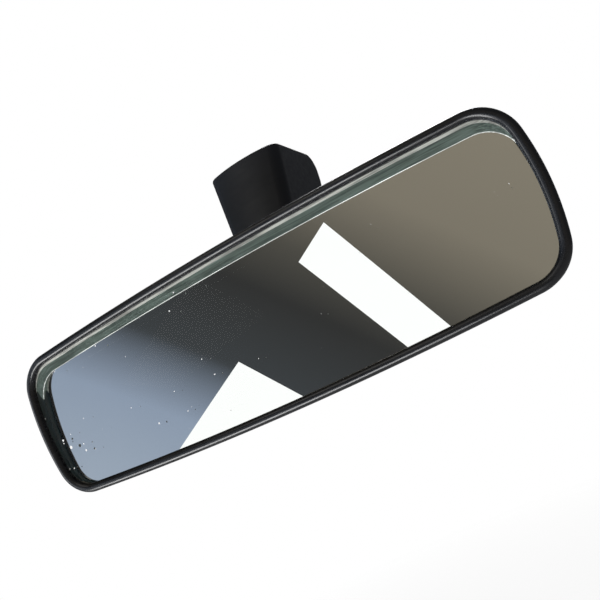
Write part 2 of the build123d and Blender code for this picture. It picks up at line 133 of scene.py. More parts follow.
class GlassSizes(bpy.types.PropertyGroup):
    """Prismatic glass and its silvering."""

    front: length_prop("Front depth", "From the rim's plane back to the glass", 0.00075)
    top_thickness: length_prop("Top thickness", "Glass thickness at the top edge's crown", 0.0077)
    bottom_thickness: length_prop("Bottom thickness", "Glass thickness at the bottom edge's crown", 0.0034)
    inset: length_prop("Edge inset", "From the bezel's outside in to the glass's edge", 0.0034)
    top_bevel: length_prop("Top bevel", "Width of the front bevel along the top", 0.0017)
    end_bevel: length_prop("Other bevels", "Width of the front bevel at the ends and the bottom", 0.0005)
    bevel_depth: length_prop("Bevel depth", "Depth of the front bevel", 0.0003)
    side_depth: length_prop("Side depth", "Depth of the upright side behind the bevel", 0.0019)
    top_slant: length_prop("Top slant", "How far the top edge slants inwards towards the back", 0.0044)
    end_slant: length_prop("End slant", "How far the other edges slant inwards towards the back", 0.0001)
    lip_gap: length_prop("Lip gap", "Gap between the bezel's lip and the glass", 0.00003)
    arris: length_prop("Back arris", "Width of the ground corner at the back", 0.00025)
    silver_gap: length_prop("Silvering gap", "Gap between the glass and the silvering", 0.00002)
    silver_thickness: length_prop("Silvering thickness", "Thickness of the silvering", 0.00008)


class LeverSizes(bpy.types.PropertyGroup):
    """Grip ribs on the lever's handle."""

    rib_count: count_prop("Ribs", "How many ribs the grip has", 4, 1)
    rib_pitch: length_prop("Rib pitch", "From one rib to the next", 0.0015)
    rib_r: length_prop("Rib radius", "Radius of a rib", 0.0005)
    rib_length: length_prop("Rib length", "Length of a rib across the handle", 0.0062)
    first_rib: length_prop("First rib", "From the axle to the first rib", 0.0085)
    handle_angle: angle_prop("Handle angle", "How far the handle points below level", 35)
    handle_thickness: length_prop("Handle thickness", "Thickness of the handle", 0.0024)


class Finishes(bpy.types.PropertyGroup):
    """Colours of the finishes; the four ground-glass colours are lit and shaded copies of one ground finish,
    with painted light and shade.
    """

    plastic: colour_prop("Black plastic", "Covers, housing and lever", (0.0055, 0.0075, 0.0125))
    bezel: colour_prop("Bezel plastic", "Glossier plastic of the bezel", (0.005, 0.0055, 0.007))
    # Painted light and shade: the next four colours are one ground-glass finish, painted lighter for the
    # bevel and arris along the top and much darker for the ends and bottom.
    bevel: colour_prop("Ground bevel", "Front bevel of the glass along the top", (0.43, 0.44, 0.405))
    edge: colour_prop("Ground edge", "Top edge of the glass", (0.095, 0.125, 0.11))
    # Partly real, partly painted highlight: the pale ground corner is painted near white, with a strong glow,
    # for the bright line along the top.
    arris: colour_prop("Back arris", "Ground corner along the top of the glass's back", (0.60, 0.62, 0.60))
    # Painted shade: the same ground glass as the top edge, painted much darker at the ends and bottom, where
    # less light falls.
    end_edge: colour_prop("Ground end edge", "Ends and bottom edge of the glass", (0.012, 0.026, 0.028))
    dust: colour_prop("Dust", "Specks and scratches on the glass", (0.9, 0.9, 0.9))
    silver: colour_prop("Silvering", "Mirror layer behind the glass", (0.92, 0.93, 0.92))


class StageSizes(bpy.types.PropertyGroup):
    """Camera, floor and panels."""

    lens: number_prop("Lens", "Focal length in millimetres", 39.3)
    yaw: angle_prop("Camera yaw", "How far the camera stands to the right of the head's middle", 22.444)
    pitch: angle_prop("Camera pitch", "How far the camera stands above the head; negative is below", -6.763)
    roll: angle_prop("Camera roll", "How far the camera is rolled", 24.442)
    distance: length_prop("Camera distance", "From the camera to the point that it looks at", 0.2456)
    aim_across: length_prop("Aim across", "From the head's middle across to the point looked at", 0.02364)
    aim_up: length_prop("Aim up", "From the head's middle up to the point looked at", 0.00136)
    floor_drop: length_prop("Floor drop", "From the head's middle down to the floor", 0.80)
    floor_r: length_prop("Floor radius", "Radius of the round floor", 2.6)
    floor_glow: number_prop("Floor glow", "How bright the floor is by itself", 0.82)
    floor_bounce: number_prop("Floor bounce", "How bright the floor is to all but the camera", 0.25)
    fade_start: number_prop("Fade start", "Share of the floor's radius at which it begins to fade", 0.3)
    fade_end: number_prop("Fade end", "Share of the floor's radius at which it is gone", 0.95)
    panel_distance: length_prop("Panel distance", "From the rim's plane forwards to the panels", 1.2)
    panel_glow: number_prop("Panel glow", "How bright the panels are", 1.1)


# Outline of the head.


def circle_meet(first, first_r, second, second_r, toward):
    """The point nearest to `toward` where two circles meet."""
    gap = second - first
    along = (gap.length_squared + first_r**2 - second_r**2) / (2 * gap.length)
    across = math.sqrt(first_r**2 - along**2)
    unit = gap.normalized()
    side = Vector((-unit.y, unit.x))
    points = [first + unit * along + side * across, first + unit * along - side * across]
    return min(points, key=lambda point: (point - toward).length)


def arc(centre, start, end, steps):
    """Points of the shorter arc about `centre` from `start` up to, but not at, `end`."""
    radius = (start - centre).length
    first = math.atan2(start.y - centre.y, start.x - centre.x)
    turn = math.atan2(end.y - centre.y, end.x - centre.x) - first
    turn = (turn + math.pi) % (2 * math.pi) - math.pi
    angles = [first + turn * step / steps for step in range(steps)]
    return [centre + Vector((math.cos(angle), math.sin(angle))) * radius for angle in angles]


def outline(top_inset, end_inset=None, bottom_inset=None):
    """Clockwise points of the head's outline from the top's crown, drawn in at the top, ends and bottom."""
    sizes = bpy.context.scene.mirror_head
    end_inset = top_inset if end_inset is None else end_inset
    bottom_inset = top_inset if bottom_inset is None else bottom_inset
    corner = max(sizes.corner_r - end_inset, SMALLEST_CORNER_R)
    top = Vector((0, sizes.half_height - sizes.top_edge_r))
    bottom = Vector((0, sizes.bottom_edge_r - sizes.half_height))
    end = Vector((sizes.half_length - sizes.end_edge_r * math.cos(sizes.end_lean),
                  sizes.end_edge_r * math.sin(sizes.end_lean)))
    top_r = sizes.top_edge_r - top_inset
    bottom_r = sizes.bottom_edge_r - bottom_inset
    end_r = sizes.end_edge_r - end_inset
    top_corner = Vector((sizes.half_length, sizes.half_height))
    bottom_corner = Vector((sizes.half_length, -sizes.half_height))
    upper = circle_meet(top, top_r - corner, end, end_r - corner, top_corner)
    lower = circle_meet(bottom, bottom_r - corner, end, end_r - corner, bottom_corner)
    top_tangent = top + (upper - top).normalized() * top_r
    end_upper = end + (upper - end).normalized() * end_r
    end_lower = end + (lower - end).normalized() * end_r
    bottom_tangent = bottom + (lower - bottom).normalized() * bottom_r
    crown = top + Vector((0, top_r))
    keel = bottom - Vector((0, bottom_r))
    steps = sizes.arc_steps
    right = arc(top, crown, top_tangent, 2 * steps)
    right += arc(upper, top_tangent, end_upper, steps)
    right += arc(end, end_upper, end_lower, steps)
    right += arc(lower, end_lower, bottom_tangent, steps)
    right += arc(bottom, bottom_tangent, keel, 2 * steps)
    left = [Vector((-point.x, point.y)) for point in reversed(right[1:])]
    return right + [keel] + left


def in_head(point, depth):
    """A point of the outline at a depth behind the rim's plane, in the object's frame."""
    return Vector((point.x, RIM_Y + depth, RIM_Z + point.y))


# Meshes.


def new_object(name, mesh):
    piece = bpy.data.objects.new(name, mesh)
    bpy.context.scene.collection.objects.link(piece)
    return piece


def smooth(mesh, degrees=35.0):
    """Smooth shading, with sharp edges where faces meet at more than an angle."""
    mesh.shade_smooth()
    mesh.set_sharp_from_angle(angle=math.radians(degrees))


def loops_mesh(name, loops, cap_start, cap_end, away_from_top=None, least_run=0.25, sharp_degrees=10):
    """Joins closed loops of equal length into bands, each with its loop's material index.

    `away_from_top` is the index of the bands where the edge no longer runs rightwards, as the top does:
    where its run rightwards is under `least_run` times its run up or down.
    """
    shape = bmesh.new()
    rings = [[shape.verts.new(point) for point in loop] for loop, _ in loops]
    count = len(rings[0])
    for ring, following, (_, index) in zip(rings, rings[1:], loops):
        for step in range(count):
            after = (step + 1) % count
            face = shape.faces.new((ring[step], following[step], following[after], ring[after]))
            run = ring[after].co - ring[step].co
            along_top = run.x > least_run * abs(run.z)
            face.material_index = index if away_from_top is None or along_top else away_from_top
    for ring, index in ((rings[0], cap_start), (rings[-1], cap_end)):
        face = shape.faces.new(ring)
        face.material_index = index
    bmesh.ops.recalc_face_normals(shape, faces=shape.faces)
    mesh = bpy.data.meshes.new(name)
    shape.to_mesh(mesh)
    shape.free()
    mesh.set_sharp_from_angle(angle=math.radians(sharp_degrees))
    for face in mesh.polygons:
        face.use_smooth = face.loop_total == 4
    return mesh


def glass_back(height):
    """Depth of the wedge's back face at a height above the head's middle."""
    head = bpy.context.scene.mirror_head
    glass = bpy.context.scene.mirror_glass
    share = (height + head.half_height) / (2 * head.half_height)
    return glass.front + glass.bottom_thickness + (glass.top_thickness - glass.bottom_thickness) * share


# Materials.


class Nodes:
    """A node tree with short calls for adding and joining nodes."""

    def __init__(self, tree):
        self.tree = tree
        tree.nodes.clear()

    def add(self, kind, values=None, **settings):
        node = self.tree.nodes.new(kind)
        for key, value in settings.items():
            setattr(node, key, value)
        for key, value in (values or {}).items():
            node.inputs[key].default_value = value
        return node

    def join(self, source, target):
        self.tree.links.new(source, target)

    def ramp(self, source, stops):
        node = self.add("ShaderNodeValToRGB")
        bar = node.color_ramp
        while len(bar.elements) < len(stops):
            bar.elements.new(0.5)
        for element, (place, colour) in zip(bar.elements, stops):
            element.position = place
            element.color = (*colour, 1.0)
        self.join(source, node.inputs["Fac"])
        return node.outputs["Color"]

    def scaled(self, scale):
        """Object coordinates times a scale along each axis."""
        place = self.add("ShaderNodeTexCoord")
        mapping = self.add("ShaderNodeMapping", {"Scale": scale})
        self.join(place.outputs["Object"], mapping.inputs["Vector"])
        return mapping.outputs["Vector"]

    def noise(self, vector, scale, detail=3.0, roughness=0.5):
        node = self.add("ShaderNodeTexNoise", {"Scale": scale, "Detail": detail, "Roughness": roughness})
        self.join(vector, node.inputs["Vector"])
        return node.outputs["Fac"]

    def span(self, source, low, high, new_low, new_high):
        node = self.add(
            "ShaderNodeMapRange",
            {"From Min": low, "From Max": high, "To Min": new_low, "To Max": new_high},
        )
        self.join(source, node.inputs["Value"])
        return node.outputs["Result"]

    def brighter(self, first, second):
        node = self.add("ShaderNodeMath", operation="MAXIMUM")
        self.join(first, node.inputs[0])
        self.join(second, node.inputs[1])
        return node.outputs["Value"]

    def dots(self, vector, scale, amount, rarity, size):
        """Round dots in the cells whose random shade is above `rarity`, as large as `size` times `amount`."""
        cells = self.add("ShaderNodeTexVoronoi", {"Scale": scale, "Randomness": 1.0}, feature="F1")
        self.join(vector, cells.inputs["Vector"])
        shade = self.add("ShaderNodeSeparateColor")
        self.join(cells.outputs["Color"], shade.inputs["Color"])
        reach = self.add("ShaderNodeMath", operation="MULTIPLY")
        self.join(self.span(shade.outputs["Red"], rarity, 1.0, 0.0, size), reach.inputs[0])
        self.join(amount, reach.inputs[1])
        dot = self.add("ShaderNodeMath", operation="LESS_THAN")
        self.join(cells.outputs["Distance"], dot.inputs[0])
        self.join(reach.outputs["Value"], dot.inputs[1])
        return dot.outputs["Value"]

    def bump(self, height, distance):
        node = self.add("ShaderNodeBump", {"Distance": distance, "Strength": 1.0})
        self.join(height, node.inputs["Height"])
        return node.outputs["Normal"]


def material(name):
    made = bpy.data.materials.new(name)
    made.use_nodes = True
    nodes = Nodes(made.node_tree)
    shader = nodes.add("ShaderNodeBsdfPrincipled")
    output = nodes.add("ShaderNodeOutputMaterial")
    nodes.join(shader.outputs["BSDF"], output.inputs["Surface"])
    return made, nodes, shader, output


def tint(colour, factor):
    return tuple(min(channel * factor, 1.0) for channel in colour)


def moulded_plastic(name, colour, roughness, grain=0.000025):
    """Black moulded plastic with uneven gloss and, unless `grain` is zero, a fine spark grain."""
    made, nodes, shader, _ = material(name)
    plain = nodes.scaled((1, 1, 1))
    broad = nodes.noise(plain, scale=28.0, detail=4.0, roughness=0.6)
    smear = nodes.noise(nodes.scaled((30, 120, 120)), scale=3.0, detail=2.0)
    shades = nodes.ramp(broad, [(NOISE_LOW, tint(colour, 0.85)), (NOISE_HIGH, tint(colour, 1.3))])
    gloss = nodes.span(smear, NOISE_LOW, NOISE_HIGH, roughness - 0.05, roughness + 0.05)
    nodes.join(shades, shader.inputs["Base Color"])
    nodes.join(gloss, shader.inputs["Roughness"])
    if grain:
        fine = nodes.noise(plain, scale=2600.0, detail=2.0)
        nodes.join(nodes.bump(fine, grain), shader.inputs["Normal"])
    return made


def metal(name, colour, roughness, brushed=(1, 1, 1)):
    """Metal with fine tool marks along one direction and slight stains."""
    made, nodes, shader, _ = material(name)
    lines = nodes.noise(nodes.scaled(brushed), scale=900.0, detail=3.0)
    stains = nodes.noise(nodes.scaled((1, 1, 1)), scale=90.0, detail=4.0)
    shades = nodes.ramp(stains, [(0.35, tint(colour, 0.8)), (0.65, tint(colour, 1.1))])
    gloss = nodes.span(lines, NOISE_LOW, NOISE_HIGH, roughness - 0.08, roughness + 0.08)
    nodes.join(shades, shader.inputs["Base Color"])
    nodes.join(gloss, shader.inputs["Roughness"])
    nodes.join(nodes.bump(lines, 0.00001), shader.inputs["Normal"])
    shader.inputs["Metallic"].default_value = 1.0
    return made


def dull(name, colour, roughness, grain_scale, grain):
    """Dull moulded or foamed finish with a soft grain."""
    made, nodes, shader, _ = material(name)
    fine = nodes.noise(nodes.scaled((1, 1, 1)), scale=grain_scale, detail=4.0)
    shades = nodes.ramp(fine, [(NOISE_LOW, tint(colour, 0.75)), (NOISE_HIGH, tint(colour, 1.15))])
    nodes.join(shades, shader.inputs["Base Color"])
    nodes.join(nodes.bump(fine, grain), shader.inputs["Normal"])
    shader.inputs["Roughness"].default_value = roughness
    return made


def clear_glass(name, dusty):
    """Clear glass; the front face carries dust specks and hairline scratches."""
    made, nodes, shader, output = material(name)
    shader.inputs["Base Color"].default_value = (0.99, 0.997, 0.992, 1.0)
    shader.inputs["Roughness"].default_value = 0.0
    shader.inputs["IOR"].default_value = 1.52
    shader.inputs["Transmission Weight"].default_value = 1.0
    shader.inputs["Specular Tint"].default_value = (0.02, 0.02, 0.02, 1.0)
    if not dusty:
        return made
    dust_colour = (*bpy.context.scene.mirror_finishes.dust, 1.0)
    dust = nodes.add("ShaderNodeBsdfDiffuse", {"Color": dust_colour})
    mixed = nodes.add("ShaderNodeMixShader")
    nodes.join(dust_mask(nodes), mixed.inputs["Fac"])
    nodes.join(shader.outputs["BSDF"], mixed.inputs[1])
    nodes.join(dust.outputs["BSDF"], mixed.inputs[2])
    nodes.join(mixed.outputs["Shader"], output.inputs["Surface"])
    return made


def dust_mask(nodes):
    """Where dust lies: specks of mixed size, thicker in patches towards the left, and short scratches."""
    flat = nodes.scaled((1, 0, 1))
    parts = nodes.add("ShaderNodeSeparateXYZ")
    nodes.join(flat, parts.inputs["Vector"])
    leftwards = nodes.span(parts.outputs["X"], 0.02, -0.07, 0.25, 1.0)
    patches = nodes.span(nodes.noise(flat, scale=30.0, detail=3.0, roughness=0.6), 0.42, 0.55, 0.0, 1.0)
    both = nodes.add("ShaderNodeMath", operation="MULTIPLY")
    nodes.join(patches, both.inputs[0])
    nodes.join(leftwards, both.inputs[1])
    amount = both.outputs["Value"]
    specks = nodes.dots(flat, scale=380.0, amount=amount, rarity=0.74, size=0.26)
    large_specks = nodes.dots(flat, scale=130.0, amount=amount, rarity=0.74, size=0.10)
    upright = nodes.scaled((1, 0, 0.14))
    scratches = nodes.dots(upright, scale=90.0, amount=leftwards, rarity=0.86, size=0.045)
    return nodes.brighter(specks, nodes.brighter(large_specks, scratches))


def ground_glass_painted_glow(name, colour, glow):
    """Ground glass with grinding lines along the edge and pale patches; an emission paints a glow on it,
    standing in for light that reaches the edge through the glass.
    """
    made, nodes, shader, _ = material(name)
    lines = nodes.noise(nodes.scaled((40, 2400, 1800)), scale=1.0, detail=3.0)
    patches = nodes.noise(nodes.scaled((70, 200, 200)), scale=1.0, detail=4.0)
    shade = nodes.add("ShaderNodeMath", operation="ADD")
    nodes.join(nodes.span(lines, NOISE_LOW, NOISE_HIGH, 0.0, 0.6), shade.inputs[0])
    nodes.join(nodes.span(patches, NOISE_LOW, NOISE_HIGH, 0.0, 0.4), shade.inputs[1])
    mixed = nodes.ramp(shade.outputs["Value"], [(0.3, tint(colour, 0.6)), (0.7, tint(colour, 1.35))])
    nodes.join(mixed, shader.inputs["Base Color"])
    nodes.join(nodes.bump(lines, 0.00002), shader.inputs["Normal"])
    # Painted light: the emission makes the ground glass glow though it is no lamp.
    nodes.join(mixed, shader.inputs["Emission Color"])
    shader.inputs["Emission Strength"].default_value = glow
    shader.inputs["Roughness"].default_value = 0.35
    return made


def silvering(name):
    """Silver mirror layer."""
    made, nodes, shader, _ = material(name)
    finishes = bpy.context.scene.mirror_finishes
    blemish = nodes.noise(nodes.scaled((1, 1, 1)), scale=40.0, detail=4.0)
    stops = [(NOISE_LOW, tint(finishes.silver, 0.99)), (NOISE_HIGH, tuple(finishes.silver))]
    shades = nodes.ramp(blemish, stops)
    nodes.join(shades, shader.inputs["Base Color"])
    shader.inputs["Metallic"].default_value = 1.0
    shader.inputs["Roughness"].default_value = 0.0
    return made


def dress(piece, *materials):
    """Puts materials in a new mesh piece's slots, after its faces have their material indices."""
    for made in materials:
        piece.data.materials.append(made)


def dress_node(node, made):
    """Gives a CAD node a better material, on its own slots."""
    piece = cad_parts[node]
    for slot in piece.material_slots:
        slot.link = "OBJECT"
        slot.material = made


# Geometry Nodes.


def sweep_tree(made, head_place):
    """A tree that sweeps a closed section along a closed path lying in XY, then stands it up in the head."""
    tree = bpy.data.node_groups.new("bezel_sweep", "GeometryNodeTree")
    tree.interface.new_socket("Geometry", in_out="INPUT", socket_type="NodeSocketGeometry")
    tree.interface.new_socket("Section", in_out="INPUT", socket_type="NodeSocketObject")
    tree.interface.new_socket("Geometry", in_out="OUTPUT", socket_type="NodeSocketGeometry")
    nodes = tree.nodes
    start = nodes.new("NodeGroupInput")
    end = nodes.new("NodeGroupOutput")
    path = nodes.new("GeometryNodeMeshToCurve")
    section = nodes.new("GeometryNodeObjectInfo")
    section_curve = nodes.new("GeometryNodeMeshToCurve")
    upright = nodes.new("GeometryNodeSetCurveNormal")
    upright.mode = "Z_UP"
    sweep = nodes.new("GeometryNodeCurveToMesh")
    stand = nodes.new("GeometryNodeTransform")
    stand.inputs["Translation"].default_value = head_place
    stand.inputs["Rotation"].default_value = (math.radians(90), 0, 0)
    real = nodes.new("GeometryNodeRealizeInstances")
    paint = nodes.new("GeometryNodeSetMaterial")
    paint.inputs["Material"].default_value = made
    link = tree.links.new
    link(start.outputs["Geometry"], path.inputs["Mesh"])
    link(path.outputs["Curve"], upright.inputs["Curve"])
    link(upright.outputs["Curve"], sweep.inputs["Curve"])
    link(start.outputs["Section"], section.inputs["Object"])
    link(section.outputs["Geometry"], section_curve.inputs["Mesh"])
    link(section_curve.outputs["Curve"], sweep.inputs["Profile Curve"])
    link(sweep.outputs["Mesh"], stand.inputs["Geometry"])
    link(stand.outputs["Geometry"], real.inputs["Geometry"])
    link(real.outputs["Geometry"], paint.inputs["Geometry"])
    link(paint.outputs["Geometry"], end.inputs["Geometry"])
    return tree


def rib_tree(made):
    """A tree that lays round bars in a row, each along X."""
    tree = bpy.data.node_groups.new("grip_ribs", "GeometryNodeTree")
    tree.interface.new_socket("Geometry", in_out="INPUT", socket_type="NodeSocketGeometry")
    tree.interface.new_socket("Count", in_out="INPUT", socket_type="NodeSocketInt")
    for name in ("Start", "Step"):
        tree.interface.new_socket(name, in_out="INPUT", socket_type="NodeSocketVector")
    for name in ("Radius", "Length"):
        tree.interface.new_socket(name, in_out="INPUT", socket_type="NodeSocketFloat")
    tree.interface.new_socket("Geometry", in_out="OUTPUT", socket_type="NodeSocketGeometry")
    nodes = tree.nodes
    start = nodes.new("NodeGroupInput")
    end = nodes.new("NodeGroupOutput")
    row = nodes.new("GeometryNodeMeshLine")
    bar = nodes.new("GeometryNodeMeshCylinder")
    bar.inputs["Vertices"].default_value = 16
    place = nodes.new("GeometryNodeInstanceOnPoints")
    place.inputs["Rotation"].default_value = (0, math.radians(90), 0)
    real = nodes.new("GeometryNodeRealizeInstances")
    paint = nodes.new("GeometryNodeSetMaterial")
    paint.inputs["Material"].default_value = made
    link = tree.links.new
    link(start.outputs["Count"], row.inputs["Count"])
    link(start.outputs["Start"], row.inputs["Start Location"])
    link(start.outputs["Step"], row.inputs["Offset"])
    link(start.outputs["Radius"], bar.inputs["Radius"])
    link(start.outputs["Length"], bar.inputs["Depth"])
    link(row.outputs["Mesh"], place.inputs["Points"])
    link(bar.outputs["Mesh"], place.inputs["Instance"])
    link(place.outputs["Instances"], real.inputs["Geometry"])
    link(real.outputs["Geometry"], paint.inputs["Geometry"])
    link(paint.outputs["Geometry"], end.inputs["Geometry"])
    return tree


def set_input(modifier, name, value):
    """Sets a Geometry Nodes input by its socket's identifier."""
    for item in modifier.node_group.interface.items_tree:
        if item.item_type == "SOCKET" and item.in_out == "INPUT" and item.name == name:
            modifier[item.identifier] = value


def settle(piece, name):
    """Turns an object with live modifiers into a plain mesh object, and removes the original."""
    graph = bpy.context.evaluated_depsgraph_get()
    mesh = bpy.data.meshes.new_from_object(piece.evaluated_get(graph))
    mesh.name = name
    bpy.data.objects.remove(piece)
    return new_object(name, mesh)


def ring_mesh(name, points):
    """A closed line of edges through points."""
    mesh = bpy.data.meshes.new(name)
    count = len(points)
    mesh.from_pydata(points, [(step, (step + 1) % count) for step in range(count)], [])
    return mesh


# Operators.


class MIRROR_OT_bezel(bpy.types.Operator):
    """Sweep the bezel's beaded section round the head's outline"""

    bl_idname = "mirror.bezel"
    bl_label = "Bezel"

    def execute(self, context):
        head = context.scene.mirror_head
        glass = context.scene.mirror_glass
        width = head.bead_width
        bead = []
        for step in range(head.bead_steps + 1):
            turn = math.pi * step / head.bead_steps
            bead.append((width / 2 * (1 - math.cos(turn)), BEAD_HEIGHT * math.sin(turn)))
        chamfer = head.skirt_chamfer
        section = bead + [
            (width, glass.lip_gap - glass.front),
            (head.wall, glass.lip_gap - glass.front),
            (head.wall, -head.skirt),
            (chamfer, -head.skirt),
            (0, -head.skirt + chamfer),
        ]
        black = context.scene.mirror_finishes.bezel
        made = moulded_plastic("bezel_plastic", black, roughness=0.27, grain=0.0)
        path = [(point.x, point.y, 0) for point in outline(0)]
        path_object = new_object("bezel_path", ring_mesh("bezel_path", path))
        section_mesh = ring_mesh("bezel_section", [(x, -y, 0) for x, y in section])
        section_object = new_object("bezel_section", section_mesh)
        modifier = path_object.modifiers.new("sweep", "NODES")
        modifier.node_group = sweep_tree(made, (0, RIM_Y, RIM_Z))
        set_input(modifier, "Section", section_object)
        bezel = settle(path_object, "bezel_rim")
        bpy.data.objects.remove(section_object)
        smooth(bezel.data, 40.0)
        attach(bezel, "head")
        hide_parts("front_bezel")
        return {"FINISHED"}


class MIRROR_OT_glass(bpy.types.Operator):
    """Make the wedge glass with its ground edge, and the silvering on its back"""

    bl_idname = "mirror.glass"
    bl_label = "Glass"

    def execute(self, context):
        glass = context.scene.mirror_glass
        front_face, back_face, bevel, edge, arris, end_edge = range(6)

        def level(top, end, depth):
            """The glass's outline, drawn in by further amounts, at a depth that may vary with the height."""
            inset = glass.inset
            points = outline(inset + top, inset + end, inset + end)
            return [in_head(point, depth(point.y)) for point in points]

        bevel_end = glass.front + glass.bevel_depth
        back_top = glass.top_slant + glass.arris
        back_end = glass.end_slant + glass.arris
        loops = [
            (level(glass.top_bevel, glass.end_bevel, lambda height: glass.front), bevel),
            (level(0, 0, lambda height: bevel_end), edge),
            (level(0, 0, lambda height: bevel_end + glass.side_depth), edge),
            (level(glass.top_slant, glass.end_slant, lambda height: glass_back(height) - glass.arris), arris),
            (level(back_top, back_end, glass_back), arris),
        ]
        mesh = loops_mesh("prism_glass", loops, front_face, back_face, end_edge)
        pane = new_object("prism_glass", mesh)
        finishes = context.scene.mirror_finishes
        # Each ground-glass material gets a painted glow, strongest on the arris and the top edge.
        dress(
            pane,
            clear_glass("glass_front", True),
            clear_glass("glass_body", False),
            ground_glass_painted_glow("ground_bevel", finishes.bevel, glow=0.2),
            ground_glass_painted_glow("ground_edge", finishes.edge, glow=0.6),
            ground_glass_painted_glow("ground_arris_painted_highlight", finishes.arris, glow=1.1),
            ground_glass_painted_glow("ground_end_painted_shade", finishes.end_edge, glow=0.15),
        )
        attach(pane, "head")
        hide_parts("mirror_glass")

        near = glass.silver_gap
        far = near + glass.silver_thickness
        loops = [
            (level(back_top, back_end, lambda height: glass_back(height) + near), 0),
            (level(back_top, back_end, lambda height: glass_back(height) + far), 0),
        ]
        mesh = loops_mesh("silver_layer", loops, 0, 0)
        silver = new_object("silver_layer", mesh)
        dress(silver, silvering("silvering"))
        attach(silver, "head")
        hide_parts("silver_coating")
        return {"FINISHED"}


class MIRROR_OT_plastic_parts(bpy.types.Operator):
    """Finish the black covers, the housing and the lever"""

    bl_idname = "mirror.plastic_parts"
    bl_label = "Plastic parts"

    def execute(self, context):
        plastic = context.scene.mirror_finishes.plastic
        black = moulded_plastic("cover_plastic", plastic, roughness=0.5)
        for node in ("foot_cover", "day_night_lever"):
            dress_node(node, black)
        dress_node("rear_housing", moulded_plastic("housing_plastic", plastic, roughness=0.38))
        inner = dull("inner_plastic", (0.05, 0.05, 0.052), roughness=0.55, grain_scale=1800.0, grain=0.00002)
        for node in ("socket_carrier", "socket_clamp"):
            dress_node(node, inner)
        nylon = dull("nylon", (0.72, 0.70, 0.64), roughness=0.4, grain_scale=900.0, grain=0.00001)
        dress_node("ball_liner", nylon)
        film = dull("backing_film", (0.06, 0.07, 0.08), roughness=0.6, grain_scale=700.0, grain=0.00002)
        dress_node("backing_film", film)
        foam = dull("foam", (0.03, 0.03, 0.03), roughness=0.95, grain_scale=1400.0, grain=0.0002)
        dress_node("glass_foam_strip", foam)
        return {"FINISHED"}


class MIRROR_OT_lever_ribs(bpy.types.Operator):
    """Lay the grip ribs on the underside of the lever's handle"""

    bl_idname = "mirror.lever_ribs"
    bl_label = "Lever ribs"

    def execute(self, context):
        sizes = context.scene.mirror_lever
        low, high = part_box("lever_pin")
        axle = (low + high) / 2
        along = Vector((0, math.cos(sizes.handle_angle), -math.sin(sizes.handle_angle)))
        under = Vector((0, -math.sin(sizes.handle_angle), -math.cos(sizes.handle_angle)))
        first = axle + along * sizes.first_rib + under * sizes.handle_thickness / 2
        made = moulded_plastic("rib_plastic", context.scene.mirror_finishes.plastic, roughness=0.45)
        host = new_object("rib_host", bpy.data.meshes.new("rib_host"))
        modifier = host.modifiers.new("ribs", "NODES")
        modifier.node_group = rib_tree(made)
        set_input(modifier, "Count", sizes.rib_count)
        set_input(modifier, "Start", first)
        set_input(modifier, "Step", along * sizes.rib_pitch)
        set_input(modifier, "Radius", sizes.rib_r)
        set_input(modifier, "Length", sizes.rib_length)
        ribs = settle(host, "lever_ribs")
        smooth(ribs.data)
        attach(ribs, "lever")
        return {"FINISHED"}


class MIRROR_OT_metal_parts(bpy.types.Operator):
    """Finish the arm, the bracket, the springs and the fasteners"""

    bl_idname = "mirror.metal_parts"
    bl_label = "Metal parts"

    def execute(self, context):
        coat = dull("powder_coat", (0.015, 0.015, 0.017), roughness=0.38, grain_scale=2200.0, grain=0.00002)
        dress_node("ball_stud", coat)
        dress_node("mounting_bracket", metal("cast_zinc", (0.42, 0.43, 0.44), roughness=0.5))
        steel = metal("plated_steel", (0.62, 0.62, 0.6), roughness=0.3, brushed=(1, 6, 6))
        for node in ("clamp_screws", "hinge_pins", "lever_pin", "spring_screw", "stud_pin"):
            dress_node(node, steel)
        spring = metal("spring_steel", (0.5, 0.5, 0.52), roughness=0.28, brushed=(8, 1, 1))
        for node in ("cover_clips", "socket_cup", "detent_spring"):
            dress_node(node, spring)
        return {"FINISHED"}


class MIRROR_OT_stage(bpy.types.Operator):
    """Set the camera, the floor, the surroundings, the lights and the panels"""

    bl_idname = "mirror.stage"
    bl_label = "Stage"

    def execute(self, context):
        stage = context.scene.mirror_stage
        place_camera(stage)
        make_floor(stage)
        make_world()
        for name, (place, size, radiance) in SOFTBOXES.items():
            area_light(name, place, size, radiance)
        for name, corners in PANELS.items():
            panel(name, corners, stage.panel_distance, stage.panel_glow)
        return {"FINISHED"}


def head_middle():
    return Vector((0, RIM_Y, RIM_Z))


def place_camera(stage):
    """The camera stands low to the right of the head and is rolled, so the head rises to the right."""
    back = Vector((
        math.sin(stage.yaw) * math.cos(stage.pitch),
        -math.cos(stage.yaw) * math.cos(stage.pitch),
        math.sin(stage.pitch),
    ))
    level_right = (-back).cross(Vector((0, 0, 1))).normalized()
    level_up = level_right.cross(-back)
    right = level_right * math.cos(stage.roll) - level_up * math.sin(stage.roll)
    up = level_right * math.sin(stage.roll) + level_up * math.cos(stage.roll)
    target = head_middle() + Vector((stage.aim_across, 0, stage.aim_up))
    data = bpy.data.cameras.new("camera")
    data.sensor_width = 36.0
    data.lens = stage.lens
    data.clip_start = 0.01
    camera = bpy.data.objects.new("camera", data)
    bpy.context.scene.collection.objects.link(camera)
    turn = Matrix((right, up, back)).transposed().to_4x4()
    camera.matrix_world = Matrix.Translation(target + back * stage.distance) @ turn
    bpy.context.scene.camera = camera


